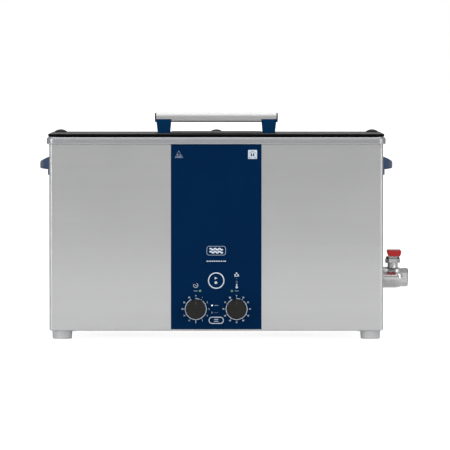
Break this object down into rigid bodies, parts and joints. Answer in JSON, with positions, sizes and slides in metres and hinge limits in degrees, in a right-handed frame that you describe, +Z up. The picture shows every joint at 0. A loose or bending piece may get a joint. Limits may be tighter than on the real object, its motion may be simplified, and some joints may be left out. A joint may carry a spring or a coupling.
{
  "type": "ultrasonic cleaner",
  "caption": "Bench-top ultrasonic cleaning bath: steel tank and housing, blue control strip with two dials, black lift-off lid with bar handle, side grips and a drain ball valve.",
  "frame": {"origin": "on the bench surface, under the centre of the rectangular housing", "axes": "+Z up, -Y is the front with the control strip, +X is the user's right, towards the drain valve"},
  "size_m": [0.591, 0.3446, 0.3568],
  "materials": {
    "brushed_sheet": "brushed along its length",
    "tank_steel": "satin drawn steel",
    "bright_steel": "polished steel tube",
    "screw_steel": "zinc-plated steel",
    "blue_foil": "satin printed polyester foil",
    "blue_plastic": "moulded blue plastic",
    "black_plastic": "satin black moulded plastic",
    "dark_knob": "dark grey moulded plastic",
    "black_rubber": "black rubber",
    "foot_rubber": "light grey rubber",
    "nickel_brass": "nickel-plated brass",
    "red_plastic": "dipped red vinyl",
    "white_plastic": "white PTFE",
    "light_pipe": "clear green acrylic",
    "aluminium": "turned aluminium",
    "ceramic": "piezo ceramic",
    "copper": "tinned copper",
    "board_green": "circuit board",
    "heater_red": "orange silicone heating mat",
    "fuse_glass": "glass fuse"
  },
  "bodies": {
    "housing": {"housing_wrap": "brushed_sheet", "rear_panel": "brushed_sheet", "base_plate": "brushed_sheet", "feet": "foot_rubber", "foot_screws": "screw_steel", "panel_screws": "screw_steel", "left_grip": "blue_plastic", "right_grip": "blue_plastic", "tank": "tank_steel", "tank_gasket": "black_rubber", "drain_strainer": "tank_steel", "heating_pads": "heater_red", "temperature_sensor": "screw_steel", "safety_thermostat": "black_plastic", "transducer_horns": "aluminium", "piezo_rings": "ceramic", "contact_rings": "copper", "backing_masses": "screw_steel", "transducer_bolts": "screw_steel", "drain_socket": "tank_steel", "drain_elbow": "nickel_brass", "drain_coupling": "nickel_brass", "drain_locknut": "nickel_brass", "valve_body": "nickel_brass", "valve_seals": "white_plastic", "gland_nut": "nickel_brass", "control_foil": "blue_foil", "light_pipes": "light_pipe", "control_board": "board_green", "rotary_switches": "screw_steel", "key_switches": "black_plastic", "generator_board": "board_green", "heat_sink": "aluminium", "power_transistors": "black_plastic", "output_transformer": "copper", "capacitors": "black_plastic", "board_pillars": "nickel_brass", "fan_frame": "black_plastic", "fan_guard": "screw_steel", "mains_inlet": "black_plastic"},
    "lid": {"lid_panel": "black_plastic", "handle_posts": "blue_plastic", "handle_bar": "bright_steel", "handle_plugs": "dark_knob", "lid_bumpers": "black_rubber", "lid_screws": "screw_steel"},
    "timer_dial": {"timer_knob": "dark_knob", "timer_shaft": "screw_steel"},
    "temperature_dial": {"temperature_knob": "dark_knob", "temperature_shaft": "screw_steel"},
    "start_button": {"start_key": "blue_foil"},
    "mode_button": {"mode_key": "blue_foil"},
    "drain_lever": {"valve_lever": "nickel_brass", "lever_sleeve": "red_plastic", "lever_nut": "screw_steel", "valve_stem": "nickel_brass", "valve_ball": "nickel_brass"},
    "fan": {"fan_rotor": "black_plastic"},
    "fuse_holder": {"fuse_drawer": "black_plastic", "fuses": "fuse_glass"}
  },
  "joints": [
    {"name": "lid_lift", "type": "slide", "parent": "housing", "child": "lid", "axis": [0, 0, 1], "range_m": [0, 0.25]},
    {"name": "timer_turn", "type": "hinge", "parent": "housing", "child": "timer_dial", "pos_m": [-0.0323, -0.17, 0.0476], "axis": [0, 1, 0], "range_deg": [0, 330]},
    {"name": "temperature_turn", "type": "hinge", "parent": "housing", "child": "temperature_dial", "pos_m": [0.0323, -0.17, 0.0476], "axis": [0, 1, 0], "range_deg": [0, 330]},
    {"name": "start_press", "type": "slide", "parent": "housing", "child": "start_button", "axis": [0, 1, 0], "range_m": [0, 0.0006], "stiffness_N_per_m": 2500},
    {"name": "mode_press", "type": "slide", "parent": "housing", "child": "mode_button", "axis": [0, 1, 0], "range_m": [0, 0.0006], "stiffness_N_per_m": 2500},
    {"name": "drain_turn", "type": "hinge", "parent": "housing", "child": "drain_lever", "pos_m": [0.285, 0.068, 0.12], "axis": [0, 0, 1], "range_deg": [0, 90]},
    {"name": "fan_spin", "type": "hinge", "parent": "housing", "child": "fan", "pos_m": [-0.15, 0.147, 0.066], "axis": [0, 1, 0], "continuous": true},
    {"name": "fuse_pull", "type": "slide", "parent": "housing", "child": "fuse_holder", "axis": [0, 1, 0], "range_m": [0, 0.024]}
  ]
}
